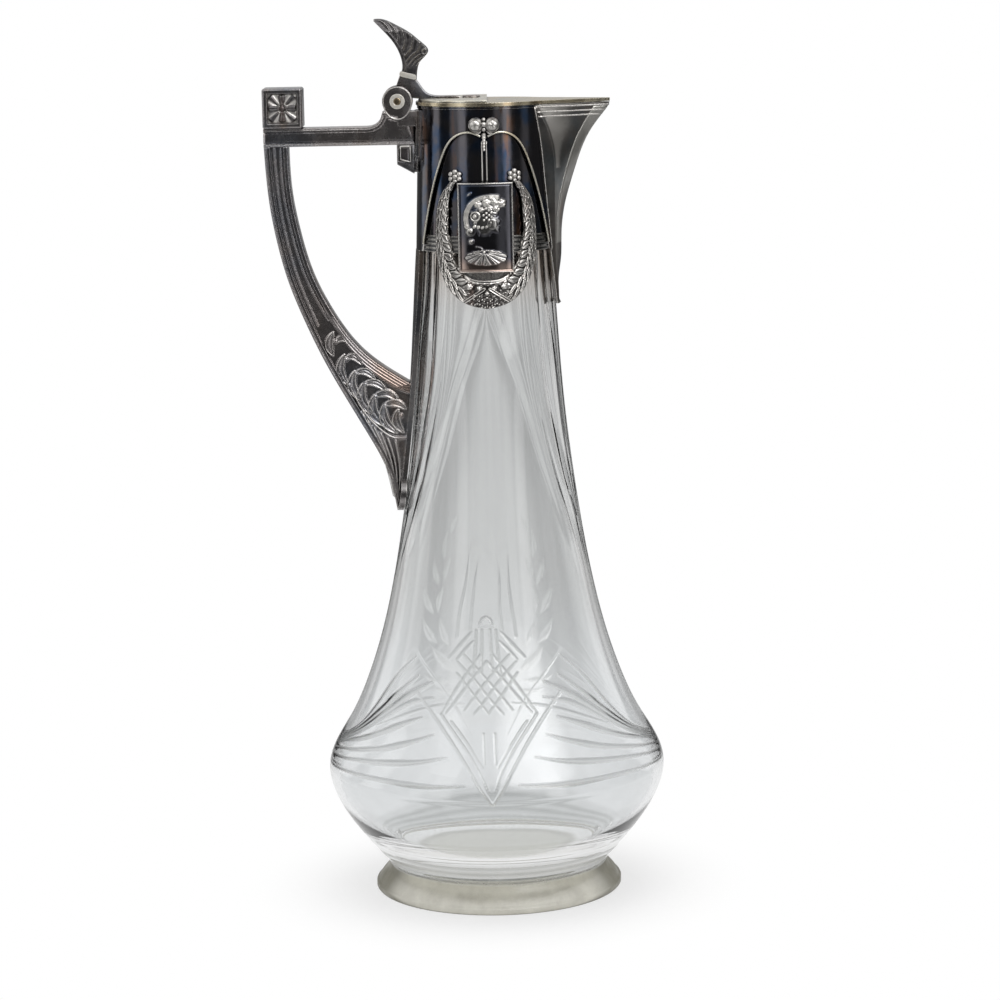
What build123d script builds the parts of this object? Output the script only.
from build123d import *
import os
from math import cos, radians, sin, sqrt

# Claret jug: a cut glass body with a soldered metal mount, a spout, a strap handle and a hinged lid.
# Millimetres. +Z is up, +X points to the spout, -X to the handle, and the hinge pin lies along Y.
# The origin is the centre of the foot's flat underside.

# ---------------------------------------------------------------- driving dimensions
# Glass body
FOOT_RADIUS = 57.0
FOOT_EDGE = 3.4
FOOT_CHAMFER = 0.8
WAIST_RADIUS = 50.2
WAIST_HEIGHT = 12.5
BELLY_RADIUS = 77.5
BELLY_HEIGHT = 58.0
NECK_RADIUS = 29.6
NECK_HEIGHT = 297.0
GLASS_WALL = 4.0
FLOOR_RADIUS = 43.0
FLOOR_HEIGHT = 17.5
SEAT_LENGTH = 33.0
SEAT_WALL = 3.2
SEAT_STEP = 1.5
CEMENT_THICKNESS = 1.6

# Collar: an inner sleeve and an arched outer shell, both slightly conical
COLLAR_LENGTH = 64.5
COLLAR_TAPER = 0.034
SHEET = 0.9
SLEEVE_PLAY = 0.3
FOOT_BAND_HEIGHT = 7.5
FOOT_BAND_REEDS = 4
RIM_BEAD_HEIGHT = 1.1
RIM_BEAD_RISE = 0.4
ARCH_HEIGHT = 53.4
ARCH_DIP = 3.0
ARCH_LOBE_SPREAD = 6.9
ARCH_HALF_WIDTH = 28.2
ARCH_POWER = 2.65
ARCH_BEAD_RADIUS = 0.48

# Applied ornament, one set at the front and one at the back
PLAQUE_WIDTH = 24.8
PLAQUE_HEIGHT = 39.8
PLAQUE_DROP = 8.5
PLAQUE_RISE = 2.7
PLAQUE_RIM_WIDTH = 0.7
PLAQUE_RIM_RISE = 0.5
RELIEF_RISE = 1.4
RELIEF_HEAD_WIDTH = 17.5
RELIEF_HEAD_HEIGHT = 15.5
RELIEF_NECK_WIDTH = 5.5
RELIEF_FAN_WIDTH = 19.0
RELIEF_FAN_HEIGHT = 7.5
WREATH_HALF_WIDTH = 22.6
WREATH_LEAF_WIDTH = 5.9
WREATH_FOOT_WIDTH = 11.9
WREATH_DROP = 24.9
WREATH_TOP = 33.0
WREATH_WIDEST = 5.0
WREATH_RISE = 2.9
ROD_WIDTH = 2.7
ROD_RISE = 1.2
ROD_TOP = 46.0
DROP_WIDTH = 1.7
DROP_TOP = 53.0
DROP_RISE = 2.2
ROSE_RADIUS = 3.1
ROSE_SPREAD = 3.6
ROSE_HEIGHT = 56.6
BERRY_RADIUS = 1.15
BERRY_COUNT = 6
BERRY_ANGLE = 25.8
BERRY_HEIGHT = 34.0

# Spout: each station is its height against the rim, its reach from the axis and its half width
SPOUT_WALL = 1.4
SPOUT_NOSE = 0.16
SPOUT_SHARPENING = 0.5
SPOUT_STATIONS = [
    (-89.8, 33.4, 9.0),
    (-72.0, 33.5, 11.0),
    (-56.5, 34.2, 12.9),
    (-41.5, 36.6, 14.6),
    (-28.5, 40.7, 15.6),
    (-16.5, 45.4, 16.6),
    (-7.5, 51.3, 18.0),
    (0.0, 56.9, 19.3),
]
SPOUT_THROAT = -28.0
SPOUT_BACK = 16.0

# Back strap, which the handle is soldered to
STRAP_FOOT = 177.0
STRAP_HALF_WIDTH = 10.5
STRAP_TIP_HALF_WIDTH = 3.0
STRAP_RISE_TOP = 2.3
STRAP_RISE_LOW = 3.6
STRAP_STANDOFF = 0.3

# Handle
HANDLE_WIDTH = 12.0
HANDLE_TIP_WIDTH = 7.0
HANDLE_REACH = 99.1
HANDLE_RIM = 2.3
HANDLE_CHANNEL = 1.0
GRIP_TOP_WIDTH = 11.0
GRIP_JOINT_HEIGHT = 236.4
GRIP_STEPS = 14
BAR_DROP = 9.0
BAR_HEIGHT = 8.3
BAR_TURN = 8.0
BAR_GROOVE = 1.1
BAR_GROOVE_DEPTH = 0.8
BLOCK_SIZE = 18.0
BLOCK_PANEL = 13.4
BLOCK_PANEL_DEPTH = 1.6
BLOCK_CHAMFER = 0.7
ROSETTE_RADIUS = 5.6
ROSETTE_PETALS = 8
ROSETTE_BOSS = 0.78
PLATE_THICKNESS = 1.4
PLATE_HALF_WIDTH = 7.5
PLATE_LENGTH = 28.0
SUPPORT_WIDTH = 11.0
SUPPORT_REACH = 39.3
SUPPORT_LENGTH = 14.2
SUPPORT_PANEL_DEPTH = 0.8

# Hinge and lid
PIN_X = -38.6
PIN_RISE = 2.1
PIN_RADIUS = 1.67
PIN_FIT = 0.02
PIN_PLAY = 0.05
EAR_RADIUS = 6.8
EAR_THICKNESS = 2.8
KNUCKLE_RADIUS = 5.4
KNUCKLE_PLAY = 0.25
SLOT_DROP = 0.8
WASHER_RADIUS = 3.4
WASHER_THICKNESS = 0.7
LID_GAP = 0.3
LID_THICKNESS = 1.5
LID_OVERHANG = 0.7
LID_BACK_OVERHANG = -0.8
LINING_THICKNESS = 1.0
LINING_PLAY = 1.2
HINGE_PLATE_THICKNESS = 1.3
HINGE_PLATE_INSET = 0.6
HINGE_PLATE_FRONT = 1.6
HINGE_PLATE_ROUND = 0.8
CREST_LENGTH = 8.0
CREST_WIDTH = 6.0
CREST_HEIGHT = 1.0
CREST_SETBACK = 3.0
ARM_LENGTH = 28.5
THUMB_WIDTH = 17.0
THUMB_FOOT_WIDTH = 8.0
THUMB_REACH = 36.6
THUMB_NARROW = 3.0
THUMB_TIP_DROP = 2.5
THUMB_TIP_ROUND = 1.0
THUMB_BEAD_RADIUS = 1.2
THUMB_BEAD_OVERHANG = 0.75

# Clearance between soldered or cemented pieces
SEAT_GAP = 0.02

# ---------------------------------------------------------------- sizes worked out from them
RIM_HEIGHT = NECK_HEIGHT + COLLAR_LENGTH
GLASS_TOP = NECK_HEIGHT + SEAT_LENGTH
OUTER = 2 * SHEET + SEAT_GAP
BAR_TOP = RIM_HEIGHT - BAR_DROP
BAR_FOOT = BAR_TOP - BAR_HEIGHT
PIN_Z = RIM_HEIGHT + PIN_RISE
LID_FOOT = RIM_HEIGHT + LID_GAP
LID_TOP = LID_FOOT + LID_THICKNESS
HINGE_PLATE_TOP = LID_TOP + SEAT_GAP + HINGE_PLATE_THICKNESS
EAR_INNER = HANDLE_WIDTH / 2 - EAR_THICKNESS

# Outline of the body, as shares of the way from one driving radius and height to the next
BOWL = [(0.0, 0.0), (0.42, 0.30), (0.90, 0.74)]
SHOULDER = [(1.0, 0.0), (0.795, 0.092), (0.60, 0.176), (0.463, 0.259), (0.317, 0.385),
            (0.184, 0.552), (0.09, 0.72), (0.035, 0.887), (0.0, 1.0)]
# Outline of the grip, as shares of the way from its foot to its top
GRIP_BACK = [(1.0, 1.0), (0.966, 0.843), (0.913, 0.739), (0.832, 0.634), (0.713, 0.529),
             (0.569, 0.4225), (0.399, 0.316), (0.219, 0.209), (0.066, 0.102), (0.0, 0.0)]
GRIP_FRONT = [(1.0, 1.0), (0.984, 0.816), (0.924, 0.648), (0.828, 0.479), (0.66, 0.309),
              (0.393, 0.136), (0.0, 0.0)]
# Top of the lid's arm, as shares of its length from the pin and of its rise over the lid
ARM_SLOPE = [(0.38, 0.63), (0.456, 0.31), (0.65, 0.12), (1.0, 0.06)]
# Edges of the thumbpiece from the pin, as shares of its reach
THUMB_BACK = [(0.033, 0.305), (0.060, 0.355), (0.060, 0.527), (-0.038, 0.732), (-0.202, 0.915),
              (-0.265, 0.978)]
THUMB_FRONT = [(-0.265, 1.0), (-0.183, 1.0), (-0.101, 0.975), (0.019, 0.913), (0.128, 0.85),
               (0.227, 0.776), (0.287, 0.724), (0.388, 0.593), (0.333, 0.522), (0.281, 0.462),
               (0.254, 0.380), (0.240, 0.250)]


# ---------------------------------------------------------------- helpers
def upright(face):
    """Stand a face drawn in (x, z) up in the plane of the handle and spout."""
    return Plane.XZ * face


def turned(points):
    """Solid of revolution about Z from a closed polygon of (radius, height)."""
    return revolve(upright(make_face(Polyline(*points, close=True))), Axis.Z)


def slab(face, width):
    """Plate of a face drawn in (x, z), with the given width along Y, centred."""
    return extrude(upright(face), amount=width / 2, both=True)


def disc(x, z, radius, width):
    """Disc about an axis along Y."""
    return slab(Pos(x, z) * Circle(radius), width)


def ball(radius):
    """Sphere whose seam and poles point away from the faces that meet it."""
    return Rot(30, 20, 0) * Sphere(radius)


def brick(x_range, y_range, z_range):
    """Block between the given limits."""
    size = [high - low for low, high in (x_range, y_range, z_range)]
    middle = [(low + high) / 2 for low, high in (x_range, y_range, z_range)]
    return Pos(*middle) * Box(*size)


def body_points(shift=0.0):
    """Points of the glass outline from the waist to the neck, moved outward by shift."""
    bowl = [(WAIST_RADIUS + a * (BELLY_RADIUS - WAIST_RADIUS) + shift,
             WAIST_HEIGHT + b * (BELLY_HEIGHT - WAIST_HEIGHT)) for a, b in BOWL]
    shoulder = [(NECK_RADIUS + a * (BELLY_RADIUS - NECK_RADIUS) + shift,
                 BELLY_HEIGHT + b * (NECK_HEIGHT - BELLY_HEIGHT)) for a, b in SHOULDER]
    return bowl + shoulder


def shoulder_points(low_shift, high_shift):
    """Points above the belly, moved outward by a shift that changes evenly with height."""
    moved = []
    for radius, height in body_points()[len(BOWL):]:
        share = (height - BELLY_HEIGHT) / (NECK_HEIGHT - BELLY_HEIGHT)
        moved.append((radius + low_shift + share * (high_shift - low_shift), height))
    return moved


def radius_on(points, height):
    """Radius of the curve through the points at a height, found by halving."""
    curve = Spline(*points)
    low, high = 0.0, 1.0
    for _ in range(30):
        middle = (low + high) / 2
        if (curve @ middle).Y < height:
            low = middle
        else:
            high = middle
    return (curve @ low).X


def cone_radius(height, offset=0.0):
    """Radius of the sleeve's inner cone at a height, plus an offset."""
    return NECK_RADIUS + SLEEVE_PLAY + offset - COLLAR_TAPER * (height - NECK_HEIGHT)


def cone_shell(low, high, inner, outer):
    """Conical shell between two offsets from the sleeve's inner cone."""
    return turned([(cone_radius(low, inner), low), (cone_radius(low, outer), low),
                   (cone_radius(high, outer), high), (cone_radius(high, inner), high)])


def cone_core(low, high, offset):
    """Solid cone inside an offset from the sleeve's inner cone."""
    return turned([(0, low), (cone_radius(low, offset), low), (cone_radius(high, offset), high),
                   (0, high)])


def both_sides(front):
    """The same ornament at the front and, turned half round, at the back."""
    return {"front": front, "rear": Rot(0, 0, 180) * front}


# ---------------------------------------------------------------- glass and its cement
def glass_body():
    outside = Spline(*body_points())
    seat_foot = NECK_HEIGHT + SEAT_STEP
    seat_low = cone_radius(seat_foot, -CEMENT_THICKNESS)
    seat_high = cone_radius(GLASS_TOP, -CEMENT_THICKNESS)
    bore = seat_high - SEAT_WALL
    inside_points = [(FLOOR_RADIUS, FLOOR_HEIGHT)] + body_points(-GLASS_WALL)[2:]
    inside = Spline(*inside_points)
    foot = Polyline((0, 0), (FOOT_RADIUS - FOOT_CHAMFER, 0), (FOOT_RADIUS, FOOT_CHAMFER),
                    (FOOT_RADIUS, FOOT_EDGE), outside @ 0)
    neck = Polyline(outside @ 1, (seat_low, seat_foot), (seat_high, GLASS_TOP), (bore, GLASS_TOP),
                    inside @ 1)
    floor = Polyline(inside @ 0, (0, FLOOR_HEIGHT), (0, 0))
    return revolve(upright(make_face(Curve() + [foot, outside, neck, inside, floor])), Axis.Z)


def neck_cement():
    low = NECK_HEIGHT + SEAT_STEP + SEAT_GAP
    return cone_shell(low, GLASS_TOP, SEAT_GAP - CEMENT_THICKNESS, -SEAT_GAP)


# ---------------------------------------------------------------- collar
def arch_tool():
    """Solid that cuts the two-lobed arch out of the front of the outer shell."""
    top = NECK_HEIGHT + ARCH_HEIGHT
    span = ARCH_HALF_WIDTH - ARCH_LOBE_SPREAD
    lobe = [(0, top - ARCH_DIP), (0.45 * ARCH_LOBE_SPREAD, top - 0.35 * ARCH_DIP), (ARCH_LOBE_SPREAD, top)]
    for share in (0.3, 0.55, 0.75, 0.9, 1.0):
        lobe.append((ARCH_LOBE_SPREAD + share * span, top - ARCH_HEIGHT * share ** ARCH_POWER))
    right = Spline(*lobe)
    left = Spline(*[(-x, z) for x, z in reversed(lobe)])
    foot = NECK_HEIGHT - SHEET
    closing = Polyline(right @ 1, (ARCH_HALF_WIDTH, foot), (-ARCH_HALF_WIDTH, foot), left @ 0)
    arch = make_face(Curve() + [left, right, closing])
    depth = 2 * cone_radius(NECK_HEIGHT, OUTER)
    return extrude(upright(arch), amount=depth), right


def wound_bead(edge):
    """Two round wires that follow the arch, laid on the outer shell."""
    points = []
    for share in (0.03, 0.06, 0.10, 0.16, 0.24, 0.36, 0.48, 0.60, 0.72, 0.84, 0.95):
        spot = edge @ share
        reach = cone_radius(spot.Y, OUTER)
        lift = 1 + (ARCH_BEAD_RADIUS + SEAT_GAP) / reach
        points.append((spot.X * lift, -sqrt(reach ** 2 - spot.X ** 2) * lift, spot.Y))
    path = Spline(*points)
    wire = sweep(Plane(path @ 0, z_dir=path % 0) * Circle(ARCH_BEAD_RADIUS), path=path)
    return Compound(children=[wire, mirror(wire, about=Plane.YZ)])


def spout_section(height, reach, half_width, back):
    """Plan of the spout at a height: an arc round the neck at its foot, a pointed beak at the rim."""
    foot_reach, rim_reach = SPOUT_STATIONS[0][1], SPOUT_STATIONS[-1][1]
    share = max(reach - foot_reach, 0) / (rim_reach - foot_reach)
    beak = share ** SPOUT_SHARPENING
    seat = cone_radius(height, OUTER)
    root = max(sqrt(seat ** 2 - half_width ** 2), back + 1)

    def side(across, along):
        pointed = root + along * (reach - root)
        rounded = sqrt(reach ** 2 - (across * half_width) ** 2)
        return (beak * pointed + (1 - beak) * rounded, -across * half_width)

    left = [side(1.0, 0.0), side(0.60, 0.42), side(0.20, 1 - SPOUT_NOSE), (reach, 0)]
    nose = Spline(*left, *[(x, -y) for x, y in reversed(left[:-1])])
    closing = Polyline(nose @ 1, (back, half_width), (back, -half_width), nose @ 0)
    return make_face(Curve() + [nose, closing])


def spout_loft(stations, wall, back):
    """Loft through the stations, drawn in by the wall."""
    sections = []
    for drop, reach, half_width in stations:
        face = spout_section(RIM_HEIGHT + drop, reach - 1.3 * wall, half_width - wall, back)
        sections.append(Pos(0, 0, RIM_HEIGHT + drop) * face)
    return loft(sections)


def spout_hollow():
    """Space that the wine runs through, from inside the collar out into the spout."""
    stations = [s for s in SPOUT_STATIONS if s[0] >= SPOUT_THROAT - 1]
    hollow = spout_loft(stations, SPOUT_WALL, SPOUT_BACK)
    _, reach, half_width = stations[-1]
    mouth = spout_section(RIM_HEIGHT, reach - 1.3 * SPOUT_WALL, half_width - SPOUT_WALL, SPOUT_BACK)
    return hollow + Pos(0, 0, RIM_HEIGHT) * extrude(mouth, amount=SHEET)


def spout(hollow):
    whole = spout_loft(SPOUT_STATIONS, 0.0, SPOUT_BACK)
    foot = RIM_HEIGHT + SPOUT_STATIONS[0][0] - SHEET
    body_side = cone_core(NECK_HEIGHT, RIM_HEIGHT + SHEET, OUTER + SEAT_GAP)
    body_side += revolved_core(foot, NECK_HEIGHT + SHEET, OUTER - SHEET)
    return whole - body_side - hollow


def revolved_core(low, high, shift):
    """Solid under the glass outline moved outward by shift, between two heights."""
    points = body_points(SLEEVE_PLAY + shift)[len(BOWL):]
    side = Spline(*points)
    base = Polyline(side @ 1, (0, NECK_HEIGHT), (0, BELLY_HEIGHT), side @ 0)
    core = revolve(upright(make_face(Curve() + [side, base])), Axis.Z)
    wide = 2 * BELLY_RADIUS
    return core & brick((-wide, wide), (-wide, wide), (low, min(high, NECK_HEIGHT)))


def inner_sleeve(hollow):
    shell = cone_shell(NECK_HEIGHT, RIM_HEIGHT, 0.0, SHEET)
    return shell - hollow


def outer_collar(hollow, arch):
    shell = cone_shell(NECK_HEIGHT, RIM_HEIGHT, SHEET + SEAT_GAP, OUTER)
    shell += cone_shell(RIM_HEIGHT - RIM_BEAD_HEIGHT, RIM_HEIGHT, SHEET + SEAT_GAP,
                        OUTER + RIM_BEAD_RISE)
    keel = spout_loft(SPOUT_STATIONS, -SEAT_GAP, SPOUT_BACK)
    proud = cone_shell(RIM_HEIGHT - COLLAR_LENGTH / 2, RIM_HEIGHT, OUTER, OUTER + EAR_RADIUS)
    return shell - arch - Rot(0, 0, 180) * arch - hollow - (keel & proud)


def foot_band(arch):
    """Reeded strip round the sleeve's foot, seen inside the arch."""
    reed = FOOT_BAND_HEIGHT / FOOT_BAND_REEDS
    band = cone_shell(NECK_HEIGHT, NECK_HEIGHT + FOOT_BAND_HEIGHT, SHEET + SEAT_GAP, 1.4 * SHEET)
    for number in range(FOOT_BAND_REEDS):
        foot = NECK_HEIGHT + number * reed
        band += cone_shell(foot + 0.2 * reed, foot + 0.8 * reed, SHEET + SEAT_GAP, OUTER - SEAT_GAP)
    inside_arch = arch & brick((SEAT_GAP - ARCH_HALF_WIDTH, ARCH_HALF_WIDTH - SEAT_GAP),
                               (-2 * NECK_RADIUS, 0), (0, RIM_HEIGHT))
    return band & inside_arch


# ---------------------------------------------------------------- applied ornament
def applied(face, low, high, rise, base=0.0):
    """Ornament with an (x, z) outline, seated on the sleeve and bridging its foot band."""
    step = NECK_HEIGHT + FOOT_BAND_HEIGHT + SEAT_GAP
    seat = SHEET + SEAT_GAP + base
    bridge = cone_radius(NECK_HEIGHT, OUTER + SEAT_GAP + base)
    top = SHEET + rise
    profile = [(bridge, low), (cone_radius(low, top), low), (cone_radius(high, top), high),
               (cone_radius(high, seat), high), (cone_radius(step, seat), step), (bridge, step)]
    blank = turned(profile)
    return blank & extrude(upright(face), amount=2 * cone_radius(low, top))


def plaque_parts():
    low = NECK_HEIGHT - PLAQUE_DROP
    high = low + PLAQUE_HEIGHT
    middle = (low + high) / 2
    field = Pos(0, middle) * Rectangle(PLAQUE_WIDTH, PLAQUE_HEIGHT)
    panel = Pos(0, middle) * Rectangle(PLAQUE_WIDTH - 2 * PLAQUE_RIM_WIDTH,
                                       PLAQUE_HEIGHT - 2 * PLAQUE_RIM_WIDTH)
    plaque = applied(field, low, high, PLAQUE_RISE)
    plaque += applied(field - panel, low, high, PLAQUE_RISE + PLAQUE_RIM_RISE)
    head = Pos(0, low + 0.65 * PLAQUE_HEIGHT) * Ellipse(RELIEF_HEAD_WIDTH / 2, RELIEF_HEAD_HEIGHT / 2)
    neck = Pos(0, low + 0.40 * PLAQUE_HEIGHT) * Rectangle(RELIEF_NECK_WIDTH, 0.30 * PLAQUE_HEIGHT)
    fan = Pos(0, low + 0.20 * PLAQUE_HEIGHT) * Ellipse(RELIEF_FAN_WIDTH / 2, RELIEF_FAN_HEIGHT / 2)
    relief = applied(head + neck + fan, low, high, PLAQUE_RISE + RELIEF_RISE,
                     PLAQUE_RISE)
    return plaque, relief


def plaque_room():
    """Block that the wreath and berries are cut back from, so that they meet the plaque's edge."""
    low = NECK_HEIGHT - PLAQUE_DROP - SEAT_GAP
    half = PLAQUE_WIDTH / 2 + SEAT_GAP
    return brick((-half, half), (-2 * NECK_RADIUS, 0), (low, low + PLAQUE_HEIGHT + 2 * SEAT_GAP))


def wreath():
    foot = NECK_HEIGHT - WREATH_DROP
    top = NECK_HEIGHT + WREATH_TOP
    wide = WREATH_HALF_WIDTH
    middle = NECK_HEIGHT + WREATH_WIDEST
    rim = [(0.70 * wide, top), (0.965 * wide, middle + 0.5 * (top - middle)), (wide, middle),
           (0.90 * wide, foot + 0.55 * (middle - foot)), (0.66 * wide, foot + 0.22 * (middle - foot)),
           (0.34 * wide, foot + 0.05 * (middle - foot)), (0, foot)]
    side = WREATH_LEAF_WIDTH
    inner = [(0.70 * wide - 0.55 * side, top - 0.35 * side), (0.965 * wide - 0.83 * side, rim[1][1] - 1),
             (wide - side, middle), (0.90 * wide - 1.02 * side, rim[3][1] + 1.5),
             (0.66 * wide - 0.80 * side, rim[4][1] + 0.95 * side), (0, foot + WREATH_FOOT_WIDTH)]
    outside = Spline(*rim, *[(-x, z) for x, z in reversed(rim[:-1])])
    inside = Spline(*inner, *[(-x, z) for x, z in reversed(inner[:-1])])
    ends = [Line(outside @ 0, inside @ 0), Line(outside @ 1, inside @ 1)]
    face = make_face(Curve() + [outside, inside, *ends])
    return applied(face, foot - 1, top + 1, WREATH_RISE) - plaque_room()


def hanging_rod():
    low = NECK_HEIGHT - PLAQUE_DROP + PLAQUE_HEIGHT + SEAT_GAP
    top = NECK_HEIGHT + ROD_TOP
    rod = Pos(0, (low + top) / 2) * Rectangle(ROD_WIDTH, top - low)
    drop_top = NECK_HEIGHT + DROP_TOP
    drop = Pos(0, (top + drop_top) / 2) * Rectangle(DROP_WIDTH, drop_top - top + SHEET)
    solid = applied(rod, low, top, ROD_RISE) + applied(drop, top - SHEET, drop_top, DROP_RISE)
    above_arch = cone_core(NECK_HEIGHT + ARCH_HEIGHT - ARCH_DIP - SEAT_GAP, RIM_HEIGHT,
                           OUTER + SEAT_GAP)
    return solid - above_arch


def dome_group(spots, offset):
    """Fused half balls of given (x, z, radius), with flat backs that stand on the cone."""
    group = None
    for x, z, radius in spots:
        reach = cone_radius(z - radius, offset)
        depth = -sqrt(reach ** 2 - x ** 2)
        seat = Plane(origin=(x, depth, z), z_dir=(x, depth, 0))
        dome = seat * Sphere(radius, arc_size1=0, align=(Align.CENTER, Align.CENTER, Align.MIN))
        group = dome if group is None else group + dome
    return group


def rose_pair():
    height = NECK_HEIGHT + ROSE_HEIGHT
    small = 0.36 * ROSE_RADIUS
    spots = [(-ROSE_SPREAD, height, ROSE_RADIUS), (ROSE_SPREAD, height, ROSE_RADIUS),
             (0, height, 0.55 * ROSE_RADIUS), (0, height + 0.9 * ROSE_RADIUS, small)]
    return dome_group(spots, OUTER + SEAT_GAP)


def berries():
    """Two clusters of berries, one above each end of the wreath."""
    height = NECK_HEIGHT + BERRY_HEIGHT
    ring = 1.75 * BERRY_RADIUS
    across = cone_radius(height, SHEET) * sin(radians(BERRY_ANGLE))
    spots = [(across, height, BERRY_RADIUS)]
    for number in range(BERRY_COUNT):
        turn = radians(90 + 360 * number / BERRY_COUNT)
        spots.append((across + ring * cos(turn), height + ring * sin(turn), BERRY_RADIUS))
    cluster = dome_group(spots, SHEET + SEAT_GAP) - wreath() - plaque_room()
    return Compound(children=[cluster, mirror(cluster, about=Plane.YZ)])


# ---------------------------------------------------------------- strap and handle
def strap_curve(extra=0.0):
    """Points of the strap's outer surface."""
    return shoulder_points(STRAP_RISE_LOW + extra, STRAP_RISE_TOP + extra)


def back_strap():
    inner = Spline(*body_points(STRAP_STANDOFF)[len(BOWL):])
    outer = Spline(*strap_curve())
    ends = [Line(inner @ 0, outer @ 0), Line(inner @ 1, outer @ 1)]
    jacket = revolve(upright(make_face(Curve() + [inner, outer, *ends])), Axis.Z)
    height = NECK_HEIGHT - STRAP_FOOT
    half = [(STRAP_HALF_WIDTH, NECK_HEIGHT), (STRAP_HALF_WIDTH, STRAP_FOOT + 0.75 * height),
            (0.80 * STRAP_HALF_WIDTH, STRAP_FOOT + 0.60 * height),
            (0.50 * STRAP_HALF_WIDTH, STRAP_FOOT + 0.42 * height),
            (STRAP_TIP_HALF_WIDTH, STRAP_FOOT + 0.12 * height)]
    side = Spline(*half)
    other = Spline(*[(-y, z) for y, z in half])
    tip = ThreePointArc(side @ 1, (0, STRAP_FOOT), other @ 1)
    face = make_face(Curve() + [side, tip, other, Line(side @ 0, other @ 0)])
    return jacket & extrude(Plane.YZ * face, amount=-2 * BELLY_RADIUS)


def beside(curve, margin):
    """Curve that runs beside another in (x, z), at a margin to its left."""
    points = []
    for number in range(GRIP_STEPS + 1):
        spot = curve @ (number / GRIP_STEPS)
        along = curve % (number / GRIP_STEPS)
        points.append((spot.X - margin * along.Y, spot.Y + margin * along.X))
    return Spline(*points)


def grip_outline(strap_reach, margin=0.0):
    """Closed (x, z) face of the grip between the bar and the strap, drawn in by a margin."""
    tip = (-strap_reach(STRAP_FOOT), STRAP_FOOT + SHEET)
    top_back = (-HANDLE_REACH, BAR_FOOT - SEAT_GAP)
    top_front = (GRIP_TOP_WIDTH - HANDLE_REACH, BAR_FOOT - SEAT_GAP)
    joint = (-strap_reach(GRIP_JOINT_HEIGHT), GRIP_JOINT_HEIGHT)

    def between(foot, top, shares):
        return [(foot[0] + a * (top[0] - foot[0]), foot[1] + b * (top[1] - foot[1]))
                for a, b in shares]

    back = Spline(*between(tip, top_back, GRIP_BACK))
    front = Spline(*between(joint, top_front, GRIP_FRONT))
    if margin:
        back = beside(back, margin)
        front = beside(front, -margin)
    inward = 2 * STRAP_RISE_LOW
    foot_points = [(spot.X + inward, spot.Y) for spot in (back @ 1, front @ 1)]
    closing = Polyline(back @ 1, *foot_points, front @ 1)
    face = make_face(Curve() + [back, closing, front, Line(back @ 0, front @ 0)])
    ceiling = BAR_FOOT - SEAT_GAP - margin
    return face & Pos(0, ceiling / 2) * Rectangle(4 * HANDLE_REACH, ceiling)


def strap_core():
    """Solid under the strap's outer surface, which the grip is cut to."""
    side = Spline(*strap_curve(SEAT_GAP))
    base = Polyline(side @ 1, (0, NECK_HEIGHT), (0, BELLY_HEIGHT), side @ 0)
    return revolve(upright(make_face(Curve() + [side, base])), Axis.Z)


def handle_grip(strap_reach):
    outline = grip_outline(strap_reach)
    grip = slab(outline, HANDLE_WIDTH) - strap_core()
    field = grip_outline(strap_reach, HANDLE_RIM)
    for side in (-1, 1):
        floor = side * (HANDLE_WIDTH / 2 - HANDLE_CHANNEL)
        channel = extrude(Pos(0, floor, 0) * upright(field), amount=-side * HANDLE_WIDTH)
        grip -= channel
    flare = GRIP_JOINT_HEIGHT - STRAP_FOOT
    tip = HANDLE_TIP_WIDTH / 2
    half = HANDLE_WIDTH / 2
    taper = Polyline((half, BAR_TOP), (half, STRAP_FOOT + flare), (tip, STRAP_FOOT),
                     (-tip, STRAP_FOOT), (-half, STRAP_FOOT + flare), (-half, BAR_TOP), close=True)
    return grip & extrude(Plane.YZ * make_face(taper), amount=-2 * HANDLE_REACH)


def grip_relief(strap_reach, side):
    """Low carved field that fills the channel where the grip flares out to the strap."""
    field = grip_outline(strap_reach, HANDLE_RIM + SEAT_GAP)
    carved = slab(field, HANDLE_WIDTH - 0.4 * HANDLE_CHANNEL)
    carved -= slab(field, HANDLE_WIDTH - 2 * HANDLE_CHANNEL + 2 * SEAT_GAP)
    carved -= strap_core()
    top = GRIP_JOINT_HEIGHT + 0.45 * (GRIP_JOINT_HEIGHT - STRAP_FOOT)
    low = STRAP_FOOT + 0.62 * (GRIP_JOINT_HEIGHT - STRAP_FOOT)
    y_range = sorted((0.0, side * HANDLE_WIDTH))
    return carved & brick((-HANDLE_REACH, 0), y_range, (low, top))


def plate_core():
    """Solid under the backplate's outer surface, which the handle is cut to."""
    return cone_core(NECK_HEIGHT, RIM_HEIGHT, OUTER + 2 * SEAT_GAP + PLATE_THICKNESS)


def backplate():
    """Curved plate with a pointed foot, soldered to the collar behind the handle."""
    top = RIM_HEIGHT - RIM_BEAD_HEIGHT - SHEET
    low = top - PLATE_LENGTH
    half = PLATE_HALF_WIDTH
    face = make_face(Polyline((half, top), (half, low + half), (0, low), (-half, low + half),
                              (-half, top), close=True))
    shell = cone_shell(low, top, OUTER + SEAT_GAP, OUTER + SEAT_GAP + PLATE_THICKNESS)
    return shell & extrude(Plane.YZ * face, amount=-2 * NECK_RADIUS)


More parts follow.
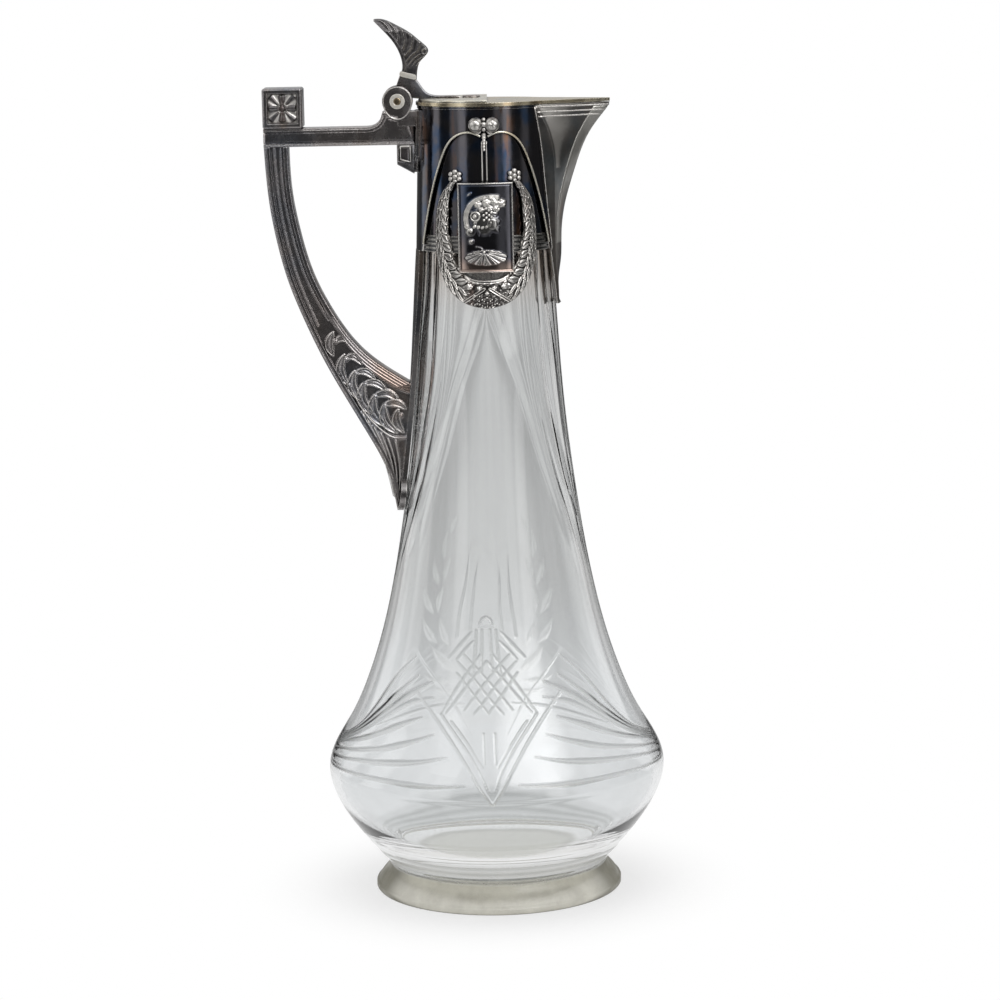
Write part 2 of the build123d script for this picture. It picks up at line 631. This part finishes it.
def handle_bar():
    """Reeded bar from the corner block to the collar, rising to the hinge ears."""
    rise = PIN_Z - 0.66 * EAR_RADIUS
    start = PIN_X - EAR_RADIUS
    turn = start - BAR_TURN
    sweep_up = Spline((turn, BAR_TOP), (start - 0.2 * BAR_TURN, BAR_TOP + 0.325 * BAR_TURN), (start, rise),
                      tangents=[(1, 0), (0, 1)])
    run = Polyline(sweep_up @ 1, (PIN_X, rise), (PIN_X, BAR_FOOT), (-HANDLE_REACH, BAR_FOOT),
                   (-HANDLE_REACH, BAR_TOP), sweep_up @ 0)
    bar = slab(make_face(Curve() + [sweep_up, run]), HANDLE_WIDTH)
    root = brick((PIN_X - SHEET, -NECK_RADIUS), (-HANDLE_WIDTH / 2, HANDLE_WIDTH / 2),
                 (BAR_FOOT, BAR_TOP))
    bar = bar + root - plate_core()
    bar -= disc(PIN_X, PIN_Z, EAR_RADIUS + SEAT_GAP, 2 * HANDLE_WIDTH)
    for level in (0.26, 0.76):
        height = BAR_FOOT + level * BAR_HEIGHT
        for side in (-1, 1):
            face = side * HANDLE_WIDTH / 2
            bar -= brick((SHEET - HANDLE_REACH, start),
                         (face - BAR_GROOVE_DEPTH, face + BAR_GROOVE_DEPTH),
                         (height - BAR_GROOVE / 2, height + BAR_GROOVE / 2))
    return bar


def corner_block():
    """Square block at the outer top corner, with a sunk panel in each side face and its back."""
    low = BAR_TOP + SEAT_GAP
    left = -HANDLE_REACH
    half = BLOCK_SIZE / 2
    block = brick((left, left + BLOCK_SIZE), (-half, half), (low, low + BLOCK_SIZE))
    block = chamfer(block.edges(), BLOCK_CHAMFER)
    middle = (left + half, low + half)
    for side in (-1, 1):
        face = side * half
        block -= Pos(middle[0], face, middle[1]) * Box(BLOCK_PANEL, 2 * BLOCK_PANEL_DEPTH, BLOCK_PANEL)
    return block - Pos(left, 0, middle[1]) * Box(2 * BLOCK_PANEL_DEPTH, BLOCK_PANEL, BLOCK_PANEL)


def rosette():
    """Petalled flower with a round boss, facing +Z, resting on its own origin."""
    petal_reach = 0.62 * ROSETTE_RADIUS
    flower = extrude(Circle(0.45 * ROSETTE_RADIUS), amount=0.75 * BLOCK_PANEL_DEPTH)
    for number in range(ROSETTE_PETALS):
        petal = Pos(petal_reach, 0) * Ellipse(ROSETTE_RADIUS - petal_reach, 0.19 * ROSETTE_RADIUS)
        flower += Rot(0, 0, 360 * number / ROSETTE_PETALS) * extrude(
            petal, amount=0.6 * BLOCK_PANEL_DEPTH)
    boss = Pos(0, 0, ROSETTE_BOSS + SEAT_GAP) * ball(ROSETTE_BOSS)
    return flower + boss


def block_rosettes():
    """One rosette for each sunk panel of the corner block."""
    x = BLOCK_SIZE / 2 - HANDLE_REACH
    z = BAR_TOP + SEAT_GAP + BLOCK_SIZE / 2
    floor = BLOCK_SIZE / 2 - BLOCK_PANEL_DEPTH + SEAT_GAP
    back = BLOCK_PANEL_DEPTH - SEAT_GAP - HANDLE_REACH
    return {
        "block_rosette_front": Pos(x, -floor, z) * Rot(90, 0, 0) * rosette(),
        "block_rosette_rear": Pos(x, floor, z) * Rot(-90, 0, 0) * rosette(),
        "block_rosette_end": Pos(back, 0, z) * Rot(0, -90, 0) * rosette(),
    }


def support_block():
    """Block under the bar where it meets the collar, with a slanted foot."""
    top = BAR_FOOT - SEAT_GAP
    low = top - 0.62 * SUPPORT_LENGTH
    face = make_face(Polyline((-SUPPORT_REACH, top), (-SUPPORT_REACH, low),
                              (-NECK_RADIUS, top - SUPPORT_LENGTH), (-NECK_RADIUS, top), close=True))
    block = slab(face, SUPPORT_WIDTH) - plate_core()
    panel = Pos((-SUPPORT_REACH - NECK_RADIUS - PLATE_THICKNESS) / 2 - 1.2, (top + low) / 2) * Rectangle(
        0.28 * SUPPORT_LENGTH, 0.42 * SUPPORT_LENGTH)
    for side in (-1, 1):
        floor = side * (SUPPORT_WIDTH / 2 - SUPPORT_PANEL_DEPTH)
        block -= extrude(Pos(0, floor, 0) * upright(panel), amount=-side * SUPPORT_WIDTH)
    return block


# ---------------------------------------------------------------- hinge
def hinge_bracket():
    """Two round ears joined below the knuckle, standing on the bar and the backplate."""
    ears = disc(PIN_X, PIN_Z, EAR_RADIUS, HANDLE_WIDTH)
    web = brick((PIN_X + SEAT_GAP, -NECK_RADIUS), (-HANDLE_WIDTH / 2, HANDLE_WIDTH / 2),
                (BAR_TOP + SEAT_GAP, PIN_Z - 0.66 * EAR_RADIUS))
    bracket = ears + web - plate_core()
    room = KNUCKLE_RADIUS + KNUCKLE_PLAY
    slot = 2 * EAR_INNER
    bracket -= disc(PIN_X, PIN_Z, room, slot)
    bracket -= brick((PIN_X - 2 * EAR_RADIUS, 0), (-slot / 2, slot / 2),
                     (PIN_Z - SLOT_DROP, PIN_Z + 2 * EAR_RADIUS))
    bracket -= brick((PIN_X, 0), (-slot / 2, slot / 2), (PIN_Z - 0.35 * room, PIN_Z + SHEET))
    return bracket - disc(PIN_X, PIN_Z, PIN_RADIUS + PIN_FIT, 2 * HANDLE_WIDTH)


def hinge_pin():
    return disc(PIN_X, PIN_Z, PIN_RADIUS, HANDLE_WIDTH + 2 * WASHER_THICKNESS)


def pin_washer(side):
    ring = Circle(WASHER_RADIUS) - Circle(PIN_RADIUS + PIN_FIT)
    start = side * (HANDLE_WIDTH / 2 + SEAT_GAP)
    plate = extrude(Plane.XZ * (Pos(PIN_X, PIN_Z) * ring), amount=-side * WASHER_THICKNESS)
    return Pos(0, start, 0) * plate


# ---------------------------------------------------------------- lid
def lid_plan(inset=0.0):
    """Round lid with a pointed front that covers the spout, drawn in by an inset."""
    radius = cone_radius(RIM_HEIGHT, OUTER) + RIM_BEAD_RISE + LID_OVERHANG - inset
    _, reach, half_width = SPOUT_STATIONS[-1]
    beak = spout_section(RIM_HEIGHT, reach - 1.3 * inset, half_width + SHEET - inset, 0)
    return Circle(radius) + beak


def lid():
    plate = Pos(0, 0, LID_FOOT) * extrude(lid_plan(), amount=LID_THICKNESS)
    arm_side = brick((2 * PIN_X, -cone_radius(RIM_HEIGHT, OUTER) + LID_BACK_OVERHANG),
                     (-NECK_RADIUS, NECK_RADIUS), (LID_FOOT - 1, LID_TOP + 1))
    return plate - arm_side


def lid_lining():
    """Flat lining under the lid, which drops into the mouth and keeps the lid in line."""
    top = LID_FOOT - SEAT_GAP
    low = top - LINING_THICKNESS
    face = Circle(cone_radius(RIM_HEIGHT) - LINING_PLAY)
    return Pos(0, 0, low) * extrude(face, amount=LINING_THICKNESS)


def lid_hinge_plate():
    """Half-round plate on the back of the lid that spreads the pull of the arm."""
    radius = cone_radius(RIM_HEIGHT, OUTER) + RIM_BEAD_RISE - HINGE_PLATE_INSET
    low = LID_TOP + SEAT_GAP
    plate = Pos(0, 0, low) * Cylinder(radius, HINGE_PLATE_THICKNESS,
                                      align=(Align.CENTER, Align.CENTER, Align.MIN))
    plate = fillet(plate.edges().sort_by(Axis.Z)[-1], HINGE_PLATE_ROUND)
    keep = brick((-2 * radius, HINGE_PLATE_FRONT), (-2 * radius, 2 * radius), (low, HINGE_PLATE_TOP))
    return plate & keep


def lid_crest():
    """Small leaf-shaped rise at the front edge of the hinge plate."""
    length = CREST_LENGTH
    middle = HINGE_PLATE_FRONT - CREST_SETBACK - length / 2
    low = HINGE_PLATE_TOP + SEAT_GAP
    leaf = Pos(middle, 0, low) * extrude(Ellipse(length / 2, CREST_WIDTH / 2), amount=CREST_HEIGHT)
    return chamfer(leaf.edges().sort_by(Axis.Z)[-1], 0.5 * CREST_HEIGHT)


def lid_arm():
    """Knuckle round the pin, with an arm that runs forward on to the hinge plate."""
    low = HINGE_PLATE_TOP + SEAT_GAP
    width = 2 * (EAR_INNER - KNUCKLE_PLAY)
    knuckle = disc(PIN_X, PIN_Z, KNUCKLE_RADIUS, width)
    left, right = thumb_spot(THUMB_BACK[0]), thumb_spot(THUMB_FRONT[-1])
    rise = right[1] - low
    slope = Spline(right, *[(PIN_X + a * ARM_LENGTH, low + b * rise) for a, b in ARM_SLOPE])
    tip = slope @ 1
    back = (PIN_X - 0.2 * KNUCKLE_RADIUS, PIN_Z + 0.9 * KNUCKLE_RADIUS)
    heel = (PIN_X + 0.78 * KNUCKLE_RADIUS, PIN_Z + 0.28 * KNUCKLE_RADIUS)
    rim = -cone_radius(RIM_HEIGHT, OUTER)
    rest = Polyline(tip, (tip.X, low), (rim, low), heel, back, left, right)
    face = make_face(Curve() + [slope, rest])
    shoulder = slab(face, THUMB_FOOT_WIDTH)
    shoulder -= disc(PIN_X, PIN_Z, EAR_RADIUS + KNUCKLE_PLAY, 2 * HANDLE_WIDTH)
    bore = disc(PIN_X, PIN_Z, PIN_RADIUS + PIN_PLAY, 2 * HANDLE_WIDTH)
    return knuckle + slab(face, width) + shoulder - bore


def thumb_spot(share):
    """Point of the thumbpiece from a share of its reach, measured from the pin."""
    return (PIN_X + share[0] * THUMB_REACH, PIN_Z + share[1] * THUMB_REACH)


def thumb_outline():
    back = Spline(*[thumb_spot(s) for s in THUMB_BACK])
    front = Spline(*[thumb_spot(s) for s in THUMB_FRONT])
    ends = [Line(back @ 1, front @ 0), Line(front @ 1, back @ 0)]
    return make_face(Curve() + [back, front, *ends])


def thumb_joint(low_lift, high_lift):
    """Closed (x, z) band across the thumbpiece's foot, between two lifts above its lowest line."""
    left, right = thumb_spot(THUMB_BACK[0]), thumb_spot(THUMB_FRONT[-1])
    return make_face(Polyline((left[0], left[1] + low_lift), (right[0], right[1] + low_lift),
                              (right[0], right[1] + high_lift), (left[0], left[1] + high_lift),
                              close=True))


def thumb_bead():
    """Round bead that masks the joint between the arm and the thumbpiece."""
    bead = slab(thumb_joint(SEAT_GAP, 2 * THUMB_BEAD_RADIUS), THUMB_FOOT_WIDTH + 2 * THUMB_BEAD_OVERHANG)
    return fillet(bead.edges().filter_by(Axis.Y), 0.9 * THUMB_BEAD_RADIUS)


def thumbpiece():
    """Curved leaf that the thumb presses, narrow at its foot and broad at its tip."""
    leaf = slab(thumb_outline(), THUMB_WIDTH)
    foot = thumb_spot(THUMB_BACK[0])[1]
    top = PIN_Z + THUMB_REACH
    half = [(THUMB_FOOT_WIDTH / 2, foot - THUMB_NARROW), (THUMB_FOOT_WIDTH / 2, foot + THUMB_NARROW),
            (THUMB_WIDTH / 2, foot + 0.65 * (top - foot)), (0.42 * THUMB_WIDTH, top - THUMB_TIP_DROP)]
    side = Spline(*half)
    other = Spline(*[(-y, z) for y, z in half])
    tip = ThreePointArc(side @ 1, (0, top + THUMB_TIP_ROUND), other @ 1)
    face = make_face(Curve() + [side, tip, other, Line(side @ 0, other @ 0)])
    below = slab(thumb_joint(-THUMB_FOOT_WIDTH, 2 * THUMB_BEAD_RADIUS + SEAT_GAP), 2 * THUMB_WIDTH)
    return (leaf & extrude(Plane.YZ * face, amount=3 * PIN_X)) - below


# ---------------------------------------------------------------- all pieces
def build_parts():
    arch, arch_edge = arch_tool()
    hollow = spout_hollow()
    strap_points = strap_curve(SEAT_GAP)

    def strap_reach(height):
        return radius_on(strap_points, height)

    parts = {
        "glass_body": glass_body(),
        "neck_cement": neck_cement(),
        "inner_sleeve": inner_sleeve(hollow),
        "outer_collar": outer_collar(hollow, arch),
        "spout": spout(hollow),
        "back_strap": back_strap(),
        "bracket_backplate": backplate(),
        "handle_grip": handle_grip(strap_reach),
        "grip_relief_front": grip_relief(strap_reach, -1),
        "grip_relief_rear": grip_relief(strap_reach, 1),
        "handle_bar": handle_bar(),
        "corner_block": corner_block(),
        "support_block": support_block(),
        "hinge_bracket": hinge_bracket(),
        "hinge_pin": hinge_pin(),
        "pin_washer_front": pin_washer(-1),
        "pin_washer_rear": pin_washer(1),
        "lid": lid(),
        "lid_lining": lid_lining(),
        "lid_hinge_plate": lid_hinge_plate(),
        "lid_crest": lid_crest(),
        "lid_arm": lid_arm(),
        "thumb_bead": thumb_bead(),
        "thumbpiece": thumbpiece(),
    }
    parts.update(block_rosettes())
    plaque, relief = plaque_parts()
    ornaments = {
        "arch_bead": wound_bead(arch_edge),
        "foot_band": foot_band(arch),
        "plaque": plaque,
        "plaque_relief": relief,
        "wreath": wreath(),
        "hanging_rod": hanging_rod(),
        "rose_pair": rose_pair(),
        "berries": berries(),
    }
    for name, front in ornaments.items():
        for side, piece in both_sides(front).items():
            parts[f"{name}_{side}"] = piece
    return parts


os.makedirs("parts", exist_ok=True)
for part_name, part_solid in build_parts().items():
    export_step(part_solid, f"parts/{part_name}.step")
